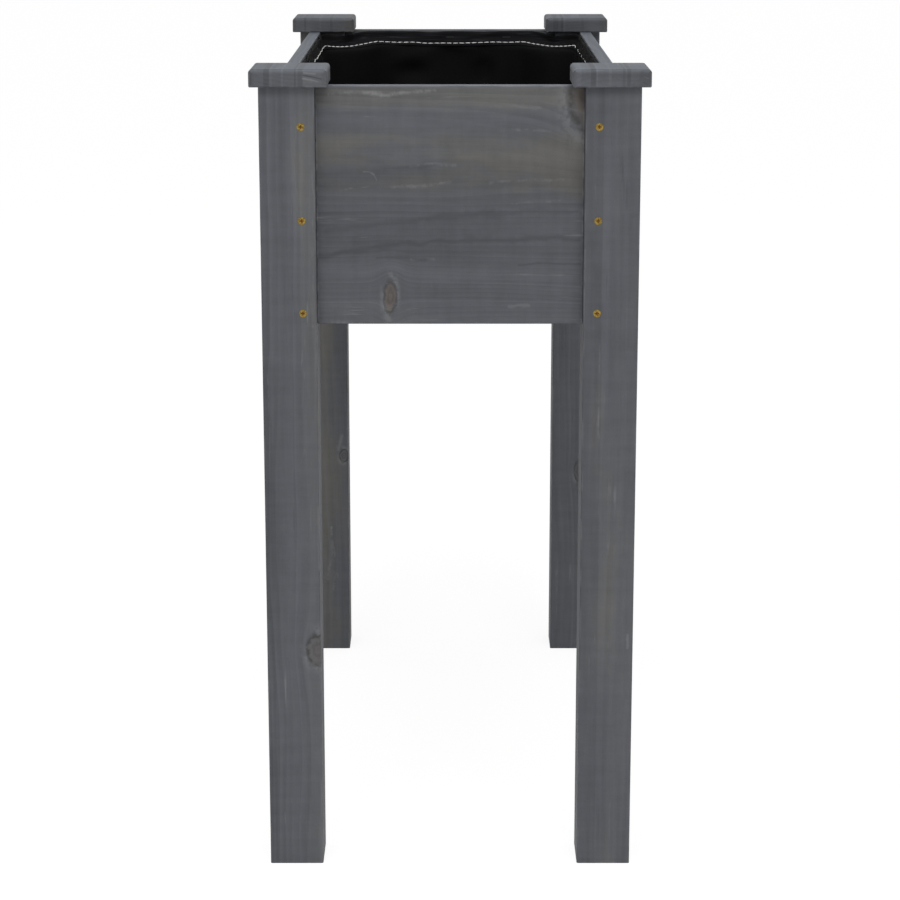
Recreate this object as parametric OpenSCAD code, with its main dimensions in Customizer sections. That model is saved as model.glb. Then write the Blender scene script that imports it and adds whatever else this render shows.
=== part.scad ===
// Raised planter on four legs: a shallow box of four boards between square posts,
// with capped posts, a slatted bottom and a cloth liner.
// Millimetres, +Z up. The origin is on the floor, under the middle of the box.
// Front is -Y, rear is +Y, left is -X and right is +X.

/* [Overall] */
// Length over the caps, front to rear
overall_length = 800; // [640:5:1200]
// Width over the caps, left to right
overall_width = 400; // [330:5:600]
// Height from the floor to the top of the caps
overall_height = 843; // [500:1:1000]

/* [Posts] */
// Side of the square posts
post_side = 56; // [46:0.2:90]
// Rounding of the long edges of the posts
post_ease = 2; // [0.5:0.5:5]

/* [Caps] */
// Thickness of the caps
cap_thickness = 18; // [15:0.6:36]
// How far a cap stands past the outer faces of its post
cap_overhang = 9; // [2:0.5:20]
// How far a cap stands past the inner faces of its post
cap_inner_overhang = 13; // [2:0.5:25]
// Rounding of the top edges and upright corners of the caps
cap_ease = 4.5; // [0.5:0.5:6]
// Rounding of the lower edges of the caps
cap_lower_ease = 1.5; // [0.5:0.5:4]

/* [Boards] */
// Height of the boards that wall the box
board_height = 242; // [190:0.5:400]
// Thickness of the boards
board_thickness = 14; // [11:0.2:22]
// Step in from the outer face of a post to the face of a board
board_recess = 12; // [3:0.5:15]
// Rounding of the long edges of the boards
board_ease = 1; // [0.5:0.5:3]
// Gap left at each end of a board, a batten or a cleat
end_gap = 0.3; // [0.1:0.1:2]

/* [Battens] */
// Width of a corner batten, measured along its board
batten_width = 24; // [18:0.2:36]
// Drop from the rim of the box to the top of the battens
batten_drop = 25; // [12:1:50]
// Lift of the battens and the cleats above the lower edge of the boards
foot_lift = 3; // [0:1:8]
// Rounding of the long edges of the battens and the cleats
batten_ease = 1; // [0.5:0.5:3]

/* [Bottom] */
// Height of the cleats that carry the slats
cleat_height = 28; // [22:0.5:45]
// Thickness of the cleats, measured out from the board
cleat_thickness = 22; // [16:0.2:30]
// Thickness of the slats
slat_thickness = 14; // [10:0.2:22]
// Drainage gap between two slats
slat_gap = 10; // [4:0.5:20]
// Gap between the end of a slat and the board or batten beside it
slat_clearance = 1; // [0.5:0.5:4]
// Distance from the edge of a slat to its screws
slat_screw_inset = 18; // [12:0.5:25]
// Distance from the end of an end cleat to its screw
cleat_screw_inset = 30; // [15:1:45]
// Distance from the end of an end slat to its screw
end_slat_screw_inset = 60; // [55:1:70]
// Rounding of the long edges of the slats
slat_ease = 1.5; // [0.5:0.5:4]

/* [Liner] */
// Thickness of the liner cloth
liner_cloth = 1.5; // [0.8:0.1:3]
// Gap between the liner and the wood around it
liner_clearance = 0.3; // [0.2:0.1:1]
// Drop from the rim of the box to the top of the liner
liner_drop = 3; // [1:0.5:8]
// Height of the folded hem at the top of the liner
hem_height = 12; // [8:0.5:16]
// Thickness of the folded hem
hem_thickness = 3; // [2:0.1:5]
// Length over which the liner leaves a board to pass a corner batten
liner_slack = 26; // [10:1:50]

/* [Screws] */
// Diameter of the screw shanks
screw_diameter = 4; // [3:0.1:5]
// Diameter of the countersunk heads
screw_head_diameter = 8; // [7:0.1:10]
// Length of the point of a screw
screw_point = 5; // [2:0.5:8]
// Diameter of the end of the point
screw_tip = 0.6; // [0.4:0.1:1]
// Span of the cross recess in a head
recess_span = 4; // [3:0.1:4.5]
// Width of the arms of the cross recess
recess_width = 1; // [0.8:0.1:1.2]
// Depth of the cross recess
recess_depth = 1.6; // [1:0.1:1.8]
// Depth of a head below the face of the wood
head_sink = 0.2; // [0.1:0.1:1]
// Space between a screw, dowel or staple and its hole, all round
hole_clearance = 0.1; // [0.05:0.05:0.3]
// Number of screws down the end face of a post
post_screw_count = 3; // [2:1:4]
// Distance from the inner face of a post to the axes of its screws
post_screw_margin = 14; // [8:0.5:16]
// Drop from the rim to the highest post screw
post_screw_drop = 40; // [36:1:60]
// Height of the lowest post screw above the lower edge of the boards
post_screw_lift = 13; // [10:1:30]
// Length of a post screw held in the batten behind the post
post_screw_bite = 14; // [8:0.5:16]
// Length of a batten screw or cleat screw held in the board
board_screw_bite = 9; // [5:0.5:10]
// Length of a slat screw held in the cleat
slat_screw_bite = 16; // [8:0.5:20]

/* [Dowels and staples] */
// Diameter of the dowels that hold the caps
dowel_diameter = 8; // [6:1:10]
// Depth of a dowel in its cap
dowel_in_cap = 12; // [8:0.5:13]
// Depth of a dowel in its post
dowel_in_post = 16; // [10:0.5:25]
// Distance between the two dowels of a post, along each side
dowel_spacing = 20; // [16:1:24]
// Chamfer at the ends of a dowel
dowel_chamfer = 1; // [0.5:0.1:1.5]
// Length of the back of a liner staple
staple_back = 10; // [6:0.5:14]
// Length of the legs of a liner staple
staple_leg = 10; // [6:0.5:12]
// Width of the flat staple wire
staple_wire = 1.2; // [0.8:0.1:1.6]
// Thickness of the flat staple wire
staple_gauge = 0.7; // [0.5:0.1:1]

/* [Hidden] */

// Which end and which side a piece is on
FRONT = -1;
REAR = 1;
LEFT = -1;
RIGHT = 1;

// Facets of the round shapes
round_facets = 48;

// Heights
rim_height = overall_height - cap_thickness;
board_foot = rim_height - board_height;
batten_foot = board_foot + foot_lift;
batten_top = rim_height - batten_drop;
batten_length = batten_top - batten_foot;
cleat_top = batten_foot + cleat_height;
slat_top = cleat_top + slat_thickness;

// Outer faces of the posts, and the faces that the posts turn to each other
frame_x = overall_width / 2 - cap_overhang;
frame_y = overall_length / 2 - cap_overhang;
post_inner_x = frame_x - post_side;
post_inner_y = frame_y - post_side;
post_centre_x = frame_x - post_side / 2;
post_centre_y = frame_y - post_side / 2;

// Outer and inner faces of the boards
board_outer_x = frame_x - board_recess;
board_outer_y = frame_y - board_recess;
board_inner_x = board_outer_x - board_thickness;
board_inner_y = board_outer_y - board_thickness;

// A batten fills the corner between its board and the inner face of the post
batten_depth = post_side - board_recess - board_thickness;
side_batten_y = post_inner_y - end_gap - batten_width;
end_batten_x = post_inner_x - end_gap - batten_width;

// Caps
cap_side = post_side + cap_overhang + cap_inner_overhang;
cap_centre_x = overall_width / 2 - cap_side / 2;
cap_centre_y = overall_length / 2 - cap_side / 2;

// Bottom slats: the long run lies between the side battens
slat_count = 7;
slat_run = 2 * (side_batten_y - end_gap) - 2 * slat_clearance;
slat_width = (slat_run - (slat_count - 1) * slat_gap) / slat_count;
slat_pitch = slat_width + slat_gap;
slat_length = 2 * (board_inner_x - slat_clearance);
end_slat_length = 2 * (end_batten_x - end_gap - slat_clearance);
end_slat_width = board_inner_y - slat_clearance - slat_run / 2 - slat_gap;
end_slat_y = slat_run / 2 + slat_gap + end_slat_width / 2;
cleat_axis = cleat_thickness / 2;

// Screws: the side faces take theirs midway between those of the end faces
post_screw_length = post_side + post_screw_bite;
batten_screw_length = batten_depth + board_screw_bite;
cleat_screw_length = cleat_thickness + board_screw_bite;
slat_screw_length = slat_thickness + slat_screw_bite;
post_screw_pitch = (board_height - post_screw_drop - post_screw_lift) / (post_screw_count - 1);
highest_screw = rim_height - post_screw_drop;
end_face_heights = [for (i = [0 : post_screw_count - 1]) highest_screw - i * post_screw_pitch];
side_face_heights = [for (i = [0 : post_screw_count - 2]) highest_screw - (i + 0.5) * post_screw_pitch];
post_screw_x = post_inner_x + post_screw_margin;
post_screw_y = post_inner_y + post_screw_margin;
side_batten_axis_y = side_batten_y + batten_width / 2;
end_batten_axis_x = end_batten_x + batten_width / 2;
cleat_screw_height = batten_foot + cleat_height / 2;
end_cleat_screw_x = end_batten_x - end_gap - cleat_screw_inset;
end_slat_screw_x = end_slat_length / 2 - end_slat_screw_inset;
hole_run_out = 1;

// Staples: evenly spaced between the corners that the liner cuts across
side_staple_count = 7;
end_staple_count = 3;
side_staple_pitch = 2 * (post_inner_y - liner_slack) / side_staple_count;
end_staple_pitch = 2 * (post_inner_x - liner_slack) / end_staple_count;
liner_top = rim_height - liner_drop;
staple_height = liner_top - hem_height / 2;

// Liner: faces of the cloth, and the four corners of its outline in one quarter
liner_x = board_inner_x - liner_clearance;
liner_y = board_inner_y - liner_clearance;
liner_foot = slat_top + liner_clearance;
liner_ledge = batten_top + liner_clearance;
bag_quarter = [
    [liner_x, side_batten_y - liner_clearance - liner_slack],
    [post_inner_x - 2 * liner_clearance, side_batten_y - 2 * liner_clearance],
    [end_batten_x - 2 * liner_clearance, post_inner_y - 2 * liner_clearance],
    [end_batten_x - liner_clearance - liner_slack, liner_y]
];
rim_corner_sum = post_inner_x + post_inner_y - 2 * liner_clearance;
rim_quarter = [
    [liner_x, rim_corner_sum - liner_x],
    [rim_corner_sum - liner_y, liner_y]
];

// The points of a quarter outline, drawn in by an inset and repeated round all four quarters
function inset_quarter(quarter, inset) = [for (p = quarter) [p.x - inset, p.y - inset]];
function back(points) = [for (i = [len(points) - 1 : -1 : 0]) points[i]];
function turned(points, sx, sy) = [for (p = points) [sx * p.x, sy * p.y]];
function outline(q) = concat(q, back(turned(q, -1, 1)), turned(q, -1, -1), back(turned(q, 1, -1)));

// ---- Shared shapes

// A rectangle with rounded corners, centred
module eased_rectangle(width, height, ease) {
    square([width - 2 * ease, height], center = true);
    square([width, height - 2 * ease], center = true);
    for (sx = [-1, 1], sy = [-1, 1]) {
        translate([sx * (width / 2 - ease), sy * (height / 2 - ease)])
            circle(r = ease, $fn = round_facets);
    }
}

// Centred bars with rounded long edges and square-sawn ends
module bar_along_x(size, ease) {
    rotate([90, 0, 90])
        linear_extrude(size.x, center = true)
            eased_rectangle(size.y, size.z, ease);
}

module bar_along_y(size, ease) {
    rotate([90, 0, 0])
        linear_extrude(size.y, center = true)
            eased_rectangle(size.x, size.z, ease);
}

module bar_along_z(size, ease) {
    linear_extrude(size.z, center = true)
        eased_rectangle(size.x, size.y, ease);
}

// Pieces are drawn at the rear right corner and mirrored to the others
module to_corner(end, side) {
    mirror([side < 0 ? 1 : 0, 0, 0])
        mirror([0, end < 0 ? 1 : 0, 0])
            children();
}

module to_every_corner() {
    for (end = [FRONT, REAR], side = [LEFT, RIGHT]) {
        to_corner(end, side)
            children();
    }
}

// Countersunk wood screw, with the top of its head at the origin and its point along -Z
module screw(length) {
    head_height = (screw_head_diameter - screw_diameter) / 2;
    difference() {
        union() {
            translate([0, 0, -head_height])
                cylinder(d1 = screw_diameter, d2 = screw_head_diameter, h = head_height, $fn = round_facets);
            translate([0, 0, screw_point - length])
                cylinder(d = screw_diameter, h = length - screw_point - head_height, $fn = round_facets);
            translate([0, 0, -length])
                cylinder(d1 = screw_tip, d2 = screw_diameter, h = screw_point, $fn = round_facets);
        }
        for (turn = [0, 90]) {
            rotate([0, 0, turn])
                translate([0, 0, -recess_depth / 2 + hole_run_out / 2])
                    cube([recess_span, recess_width, recess_depth + hole_run_out], center = true);
        }
    }
}

// The hole that a screw goes into: countersink, drilled length and a little room at the point
module screw_hole(length) {
    head_height = (screw_head_diameter - screw_diameter) / 2;
    wide = screw_head_diameter + 2 * hole_clearance;
    narrow = screw_diameter + 2 * hole_clearance;
    cylinder(d = wide, h = head_sink + hole_run_out, $fn = round_facets);
    translate([0, 0, -head_height])
        cylinder(d1 = narrow, d2 = wide, h = head_height, $fn = round_facets);
    translate([0, 0, -length - hole_run_out])
        cylinder(d = narrow, h = length + hole_run_out, $fn = round_facets);
}

// ---- Places of the fasteners at the rear right corner, with the head's face at the child's origin

module at_post_end_screws() {
    for (height = end_face_heights) {
        translate([post_screw_x, frame_y - head_sink, height])
            rotate([-90, 0, 0])
                children();
    }
}

module at_post_side_screws() {
    for (height = side_face_heights) {
        translate([frame_x - head_sink, post_screw_y, height])
            rotate([0, 90, 0])
                children();
    }
}

// A side batten is fixed to its board at the heights that its post screws leave free
module at_side_batten_screws() {
    for (height = side_face_heights) {
        translate([post_inner_x + head_sink, side_batten_axis_y, height])
            rotate([0, -90, 0])
                children();
    }
}

module at_end_batten_screws() {
    for (height = end_face_heights) {
        translate([end_batten_axis_x, post_inner_y + head_sink, height])
            rotate([90, 0, 0])
                children();
    }
}

// Cleat screws lie under the gaps of the slats, clear of the slat screws
module at_side_cleat_screws() {
    for (gap = [0 : slat_count / 2 - 1]) {
        translate([board_inner_x - cleat_thickness + head_sink, (gap + 0.5) * slat_pitch, cleat_screw_height])
            rotate([0, -90, 0])
                children();
    }
}

module at_end_cleat_screws() {
    translate([end_cleat_screw_x, board_inner_y - cleat_thickness + head_sink, cleat_screw_height])
        rotate([90, 0, 0])
            children();
}

// The two screws at the right end of one long slat, and the right-hand screw of an end slat
module at_slat_screws() {
    for (edge = [-1, 1]) {
        translate([board_inner_x - cleat_axis, edge * (slat_width / 2 - slat_screw_inset), slat_top - head_sink])
            children();
    }
}

module at_end_slat_screws() {
    translate([end_slat_screw_x, board_inner_y - cleat_axis, slat_top - head_sink])
        children();
}

module at_cap_dowels() {
    for (turn = [-1, 1]) {
        translate([
            post_centre_x + turn * dowel_spacing / 2,
            post_centre_y - turn * dowel_spacing / 2,
            rim_height
        ])
            children();
    }
}

// Staples on the right-hand board and on the rear board, with the back of the staple at the origin
module at_side_staples() {
    for (i = [0 : side_staple_count - 1]) {
        translate([liner_x - hem_thickness, (i - (side_staple_count - 1) / 2) * side_staple_pitch, staple_height])
            rotate([0, 0, -90])
                children();
    }
}

module at_end_staples() {
    for (i = [0 : end_staple_count - 1]) {
        translate([(i - (end_staple_count - 1) / 2) * end_staple_pitch, liner_y - hem_thickness, staple_height])
            children();
    }
}

// ---- Posts and caps

module post(end, side) {
    color("#5a5c60")
        to_corner(end, side)
            difference() {
                translate([post_centre_x, post_centre_y, rim_height / 2])
                    bar_along_z([post_side, post_side, rim_height], post_ease);
                at_post_end_screws()
                    screw_hole(post_screw_length);
                at_post_side_screws()
                    screw_hole(post_screw_length);
                at_cap_dowels()
                    dowel_hole();
            }
}

// The section of a cap, upright on its lower face: rounder above than below
module cap_section() {
    top_width = cap_side - 2 * cap_ease;
    lower_width = cap_side - 2 * cap_lower_ease;
    side_height = cap_thickness - cap_ease - cap_lower_ease;
    translate([-top_width / 2, 0])
        square([top_width, cap_thickness]);
    translate([-lower_width / 2, 0])
        square([lower_width, cap_thickness - cap_ease]);
    translate([-cap_side / 2, cap_lower_ease])
        square([cap_side, side_height]);
    for (side = [LEFT, RIGHT]) {
        translate([side * top_width / 2, cap_thickness - cap_ease])
            circle(r = cap_ease, $fn = round_facets);
        translate([side * lower_width / 2, cap_lower_ease])
            circle(r = cap_lower_ease, $fn = round_facets);
    }
}

// A square cap with every edge rounded, centred over its lower face
module cap_block() {
    intersection() {
        rotate([90, 0, 90])
            linear_extrude(cap_side, center = true)
                cap_section();
        rotate([90, 0, 0])
            linear_extrude(cap_side, center = true)
                cap_section();
        linear_extrude(cap_thickness)
            eased_rectangle(cap_side, cap_side, cap_ease);
    }
}

module cap(end, side) {
    color("#5f6064")
        to_corner(end, side)
            difference() {
                translate([cap_centre_x, cap_centre_y, rim_height])
                    cap_block();
                at_cap_dowels()
                    dowel_hole();
            }
}

// ---- Boards of the box

module end_board(end) {
    length = 2 * (post_inner_x - end_gap);
    color("#5b5c60")
        difference() {
            translate([0, end * (board_inner_y + board_thickness / 2), board_foot + board_height / 2])
                bar_along_x([length, board_thickness, board_height], board_ease);
            for (side = [LEFT, RIGHT]) {
                to_corner(end, side) {
                    at_end_batten_screws()
                        screw_hole(batten_screw_length);
                    at_end_cleat_screws()
                        screw_hole(cleat_screw_length);
                }
            }
            to_corner(end, RIGHT)
                at_end_staples()
                    staple_holes();
        }
}

module side_board(side) {
    length = 2 * (post_inner_y - end_gap);
    color("#595b5f")
        difference() {
            translate([side * (board_inner_x + board_thickness / 2), 0, board_foot + board_height / 2])
                bar_along_y([board_thickness, length, board_height], board_ease);
            for (end = [FRONT, REAR]) {
                to_corner(end, side) {
                    at_side_batten_screws()
                        screw_hole(batten_screw_length);
                    at_side_cleat_screws()
                        screw_hole(cleat_screw_length);
                }
            }
            to_corner(REAR, side)
                at_side_staples()
                    staple_holes();
        }
}

// ---- Corner battens

module end_batten(end, side) {
    color("#8a7a5c")
        to_corner(end, side)
            difference() {
                translate([end_batten_axis_x, board_inner_y - batten_depth / 2, batten_foot + batten_length / 2])
                    bar_along_z([batten_width, batten_depth, batten_length], batten_ease);
                at_post_side_screws()
                    screw_hole(post_screw_length);
                at_end_batten_screws()
                    screw_hole(batten_screw_length);
            }
}

module side_batten(end, side) {
    color("#8a7a5c")
        to_corner(end, side)
            difference() {
                translate([board_inner_x - batten_depth / 2, side_batten_axis_y, batten_foot + batten_length / 2])
                    bar_along_z([batten_depth, batten_width, batten_length], batten_ease);
                at_post_end_screws()
                    screw_hole(post_screw_length);
                at_side_batten_screws()
                    screw_hole(batten_screw_length);
            }
}

// ---- Bottom

module end_cleat(end) {
    length = 2 * (end_batten_x - end_gap);
    color("#8a7a5c")
        difference() {
            translate([0, end * (board_inner_y - cleat_axis), batten_foot + cleat_height / 2])
                bar_along_x([length, cleat_thickness, cleat_height], batten_ease);
            for (side = [LEFT, RIGHT]) {
                to_corner(end, side) {
                    at_end_cleat_screws()
                        screw_hole(cleat_screw_length);
                    at_end_slat_screws()
                        screw_hole(slat_screw_length);
                }
            }
        }
}

module side_cleat(side) {
    length = 2 * (side_batten_y - end_gap);
    color("#8a7a5c")
        difference() {
            translate([side * (board_inner_x - cleat_axis), 0, batten_foot + cleat_height / 2])
                bar_along_y([cleat_thickness, length, cleat_height], batten_ease);
            for (end = [FRONT, REAR]) {
                to_corner(end, side)
                    at_side_cleat_screws()
                        screw_hole(cleat_screw_length);
            }
            for (index = [1 : slat_count]) {
                translate([0, slat_centre(index), 0])
                    to_corner(REAR, side)
                        at_slat_screws()
                            screw_hole(slat_screw_length);
            }
        }
}

function slat_centre(index) = (index - (slat_count + 1) / 2) * slat_pitch;

module bottom_slat(index) {
    color("#94866a")
        translate([0, slat_centre(index), 0])
            difference() {
                translate([0, 0, cleat_top + slat_thickness / 2])
                    bar_along_x([slat_length, slat_width, slat_thickness], slat_ease);
                for (side = [LEFT, RIGHT]) {
                    to_corner(REAR, side)
                        at_slat_screws()
                            screw_hole(slat_screw_length);
                }
            }
}

module end_slat(end) {
    color("#94866a")
        difference() {
            translate([0, end * end_slat_y, cleat_top + slat_thickness / 2])
                bar_along_x([end_slat_length, end_slat_width, slat_thickness], slat_ease);
            for (side = [LEFT, RIGHT]) {
                to_corner(end, side)
                    at_end_slat_screws()
                        screw_hole(slat_screw_length);
            }
        }
}

// ---- Liner

// One level of the liner's outline, from one height up to another
module liner_level(quarter, inset, low, high) {
    translate([0, 0, low])
        linear_extrude(high - low)
            polygon(outline(inset_quarter(quarter, inset)));
}

module liner() {
    hem_foot = liner_top - hem_height;
    floor_top = liner_foot + liner_cloth;
    ledge_top = liner_ledge + liner_cloth;
    color("#0f0f10")
        difference() {
            union() {
                liner_level(bag_quarter, 0, liner_foot, ledge_top);
                liner_level(rim_quarter, 0, liner_ledge, liner_top);
            }
            liner_level(bag_quarter, liner_cloth, floor_top, ledge_top + hole_run_out);
            liner_level(rim_quarter, liner_cloth, ledge_top, hem_foot);
            liner_level(rim_quarter, hem_thickness, ledge_top, liner_top + hole_run_out);
            for (side = [LEFT, RIGHT]) {
                to_corner(REAR, side)
                    at_side_staples()
                        staple_holes();
            }
            for (end = [FRONT, REAR]) {
                to_corner(end, RIGHT)
                    at_end_staples()
                        staple_holes();
            }
        }
}

// ---- Fasteners

module post_end_screws() {
    color("#c8a13c")
        to_every_corner()
            at_post_end_screws()
                screw(post_screw_length);
}

module post_side_screws() {
    color("#c8a13c")
        to_every_corner()
            at_post_side_screws()
                screw(post_screw_length);
}

module batten_screws() {
    color("#c8a13c")
        to_every_corner() {
            at_side_batten_screws()
                screw(batten_screw_length);
            at_end_batten_screws()
                screw(batten_screw_length);
        }
}

module cleat_screws() {
    color("#c8a13c")
        to_every_corner() {
            at_side_cleat_screws()
                screw(cleat_screw_length);
            at_end_cleat_screws()
                screw(cleat_screw_length);
        }
}

module slat_screws() {
    color("#c8a13c") {
        for (index = [1 : slat_count], side = [LEFT, RIGHT]) {
            translate([0, slat_centre(index), 0])
                to_corner(REAR, side)
                    at_slat_screws()
                        screw(slat_screw_length);
        }
        to_every_corner()
            at_end_slat_screws()
                screw(slat_screw_length);
    }
}

// Beech dowel between a post and its cap, with the joint at the origin
module dowel() {
    end_diameter = dowel_diameter - 2 * dowel_chamfer;
    length = dowel_in_cap + dowel_in_post;
    translate([0, 0, -dowel_in_post]) {
        cylinder(d1 = end_diameter, d2 = dowel_diameter, h = dowel_chamfer, $fn = round_facets);
        translate([0, 0, dowel_chamfer])
            cylinder(d = dowel_diameter, h = length - 2 * dowel_chamfer, $fn = round_facets);
        translate([0, 0, length - dowel_chamfer])
            cylinder(d1 = dowel_diameter, d2 = end_diameter, h = dowel_chamfer, $fn = round_facets);
    }
}

module dowel_hole() {
    translate([0, 0, -dowel_in_post - hole_run_out])
        cylinder(
            d = dowel_diameter + 2 * hole_clearance,
            h = dowel_in_post + dowel_in_cap + 2 * hole_run_out,
            $fn = round_facets
        );
}

module cap_dowels() {
    color("#c9a87a")
        to_every_corner()
            at_cap_dowels()
                dowel();
}

// Flat-wire staple: its back lies against the cloth and its legs point along +Y
module staple() {
    translate([-staple_back / 2, -staple_gauge - hole_clearance, -staple_wire / 2])
        cube([staple_back, staple_gauge, staple_wire]);
    for (turn = [-1, 1]) {
        translate([
            turn * (staple_back - staple_gauge) / 2 - staple_gauge / 2,
            -staple_gauge - hole_clearance,
            -staple_wire / 2
        ])
            cube([staple_gauge, staple_gauge + hole_clearance + staple_leg, staple_wire]);
    }
}

module staple_holes() {
    for (turn = [-1, 1]) {
        translate([
            turn * (staple_back - staple_gauge) / 2 - staple_gauge / 2 - hole_clearance,
            -hole_run_out,
            -staple_wire / 2 - hole_clearance
        ])
            cube([
                staple_gauge + 2 * hole_clearance,
                hole_run_out + staple_leg + hole_run_out,
                staple_wire + 2 * hole_clearance
            ]);
    }
}

module liner_staples() {
    color("#4a4a4c") {
        for (side = [LEFT, RIGHT]) {
            to_corner(REAR, side)
                at_side_staples()
                    staple();
        }
        for (end = [FRONT, REAR]) {
            to_corner(end, RIGHT)
                at_end_staples()
                    staple();
        }
    }
}

post(FRONT, LEFT);  // front_left_post
post(FRONT, RIGHT);  // front_right_post
post(REAR, LEFT);  // rear_left_post
post(REAR, RIGHT);  // rear_right_post
cap(FRONT, LEFT);  // front_left_cap
cap(FRONT, RIGHT);  // front_right_cap
cap(REAR, LEFT);  // rear_left_cap
cap(REAR, RIGHT);  // rear_right_cap
end_board(FRONT);  // front_board
end_board(REAR);  // rear_board
side_board(LEFT);  // left_board
side_board(RIGHT);  // right_board
end_batten(FRONT, LEFT);  // front_left_end_batten
end_batten(FRONT, RIGHT);  // front_right_end_batten
end_batten(REAR, LEFT);  // rear_left_end_batten
end_batten(REAR, RIGHT);  // rear_right_end_batten
side_batten(FRONT, LEFT);  // front_left_side_batten
side_batten(FRONT, RIGHT);  // front_right_side_batten
side_batten(REAR, LEFT);  // rear_left_side_batten
side_batten(REAR, RIGHT);  // rear_right_side_batten
end_cleat(FRONT);  // front_cleat
end_cleat(REAR);  // rear_cleat
side_cleat(LEFT);  // left_cleat
side_cleat(RIGHT);  // right_cleat
bottom_slat(1);  // bottom_slat_1
bottom_slat(2);  // bottom_slat_2
bottom_slat(3);  // bottom_slat_3
bottom_slat(4);  // bottom_slat_4
bottom_slat(5);  // bottom_slat_5
bottom_slat(6);  // bottom_slat_6
bottom_slat(7);  // bottom_slat_7
end_slat(FRONT);  // front_end_slat
end_slat(REAR);  // rear_end_slat
liner();
post_end_screws();
post_side_screws();
batten_screws();
cleat_screws();
slat_screws();
cap_dowels();
liner_staples();
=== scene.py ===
import math
import random

import bmesh
import bpy
from mathutils import Matrix, Vector


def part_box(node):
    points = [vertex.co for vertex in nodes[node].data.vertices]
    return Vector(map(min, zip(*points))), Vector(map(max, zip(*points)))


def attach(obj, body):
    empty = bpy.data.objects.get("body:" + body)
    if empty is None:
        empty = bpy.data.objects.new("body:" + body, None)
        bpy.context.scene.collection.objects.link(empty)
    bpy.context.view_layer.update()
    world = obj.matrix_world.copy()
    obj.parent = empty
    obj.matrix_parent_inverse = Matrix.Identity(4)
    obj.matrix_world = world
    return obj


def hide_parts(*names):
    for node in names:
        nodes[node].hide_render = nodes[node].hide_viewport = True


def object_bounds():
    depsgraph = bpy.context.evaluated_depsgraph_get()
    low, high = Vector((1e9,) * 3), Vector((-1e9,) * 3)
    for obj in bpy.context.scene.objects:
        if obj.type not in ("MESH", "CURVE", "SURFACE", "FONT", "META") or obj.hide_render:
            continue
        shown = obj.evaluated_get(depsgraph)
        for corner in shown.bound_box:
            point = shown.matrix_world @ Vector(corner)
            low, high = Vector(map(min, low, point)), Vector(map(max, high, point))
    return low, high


# Finishes, cloth liner and stitching of a raised planter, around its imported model.
# Metres, +Z up. Front is -Y, rear is +Y, left is -X and right is +X.

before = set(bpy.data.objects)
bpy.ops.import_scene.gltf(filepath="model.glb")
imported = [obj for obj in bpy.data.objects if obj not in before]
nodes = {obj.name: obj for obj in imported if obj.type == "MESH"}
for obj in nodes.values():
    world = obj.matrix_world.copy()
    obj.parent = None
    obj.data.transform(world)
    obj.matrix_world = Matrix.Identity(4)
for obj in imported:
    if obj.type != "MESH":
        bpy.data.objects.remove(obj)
cad_low, cad_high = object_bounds()

MM = 0.001


# ---- Camera, light and floor

CAMERA_BACK = 2.485       # in front of the front caps
CAMERA_RISE = 0.223       # above the caps
CAMERA_DOWN = math.radians(12.97)
CAMERA_LENS = 100.1
CAMERA_SENSOR = 36.0
CAMERA_SHIFT = -0.04
SKY = 0.72                # strength of the even light from all round
CLEAR_WHITE = 1.0         # strength at which the background is white
KEY_WATTS = 62.0
KEY_SIZE = 2.4
KEY_PLACE = Vector((0.0, -1.6, 3.1))
FLOOR_SIZE = 30.0
FLOOR_WHITE = 0.82
FLOOR_GLOW = 0.84         # share of the floor's own white in what the camera sees of it
GLOW_WHITE = 1.07         # strength of that white, so that the lit floor comes out white


def make_camera():
    data = bpy.data.cameras.new("studio_camera")
    data.lens = CAMERA_LENS
    data.sensor_width = CAMERA_SENSOR
    data.shift_y = CAMERA_SHIFT
    camera = bpy.data.objects.new("studio_camera", data)
    middle = (cad_low.x + cad_high.x) / 2
    camera.location = (middle, cad_low.y - CAMERA_BACK, cad_high.z + CAMERA_RISE)
    camera.rotation_euler = (math.radians(90) - CAMERA_DOWN, 0, 0)
    bpy.context.scene.collection.objects.link(camera)
    bpy.context.scene.camera = camera


def make_key_light():
    data = bpy.data.lights.new("top_softbox", "AREA")
    data.shape = "SQUARE"
    data.size = KEY_SIZE
    data.energy = KEY_WATTS
    light = bpy.data.objects.new("top_softbox", data)
    light.location = KEY_PLACE
    aim = Vector((0, 0, cad_high.z / 2)) - KEY_PLACE
    light.rotation_euler = aim.to_track_quat("-Z", "Y").to_euler()
    bpy.context.scene.collection.objects.link(light)


class Value:
    """One output of a shader node. Arithmetic on it adds Math nodes to the same tree."""

    def __init__(self, finish, socket):
        self.finish = finish
        self.socket = socket

    def __add__(self, other):
        return self.finish.math("ADD", self, other)

    def __radd__(self, other):
        return self.finish.math("ADD", other, self)

    def __sub__(self, other):
        return self.finish.math("SUBTRACT", self, other)

    def __rsub__(self, other):
        return self.finish.math("SUBTRACT", other, self)

    def __mul__(self, other):
        return self.finish.math("MULTIPLY", self, other)

    def __rmul__(self, other):
        return self.finish.math("MULTIPLY", other, self)

    def __truediv__(self, other):
        return self.finish.math("DIVIDE", self, other)


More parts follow.
